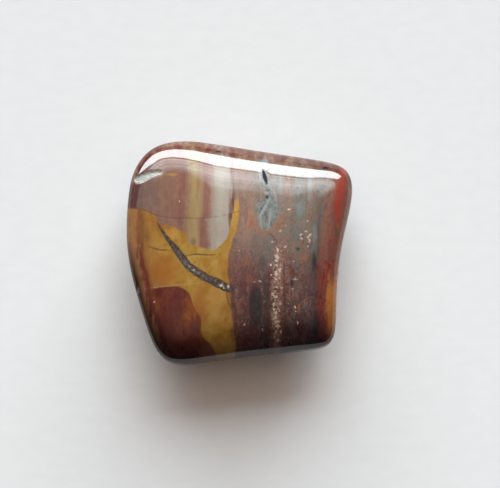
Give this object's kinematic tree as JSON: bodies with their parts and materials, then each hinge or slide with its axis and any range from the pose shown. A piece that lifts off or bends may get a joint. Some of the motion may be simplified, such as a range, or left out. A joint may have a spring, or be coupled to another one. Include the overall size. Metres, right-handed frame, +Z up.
{
  "type": "tumbled tiger's eye stone",
  "caption": "Tumbled and polished pebble of tiger's eye with ironstone bands: four soft corners, a domed face and a small worn flat to rest on.",
  "frame": {"origin": "middle of the stone's outline, on the surface that it rests on", "axes": "+Z up, out of the domed face; +Y towards the far edge, square to the short side that the bands meet; +X to the right, across the bands, with the ochre side at -X and the red side at +X"},
  "size_m": [0.0232, 0.0232, 0.0098],
  "materials": {
    "polished_stone": "tumbled to a wet gloss, banded ochre, mauve-brown, grey-blue and iron-red, with a black vein and fine glitter"
  },
  "bodies": {
    "root": {"stone": "polished_stone"}
  },
  "joints": []
}
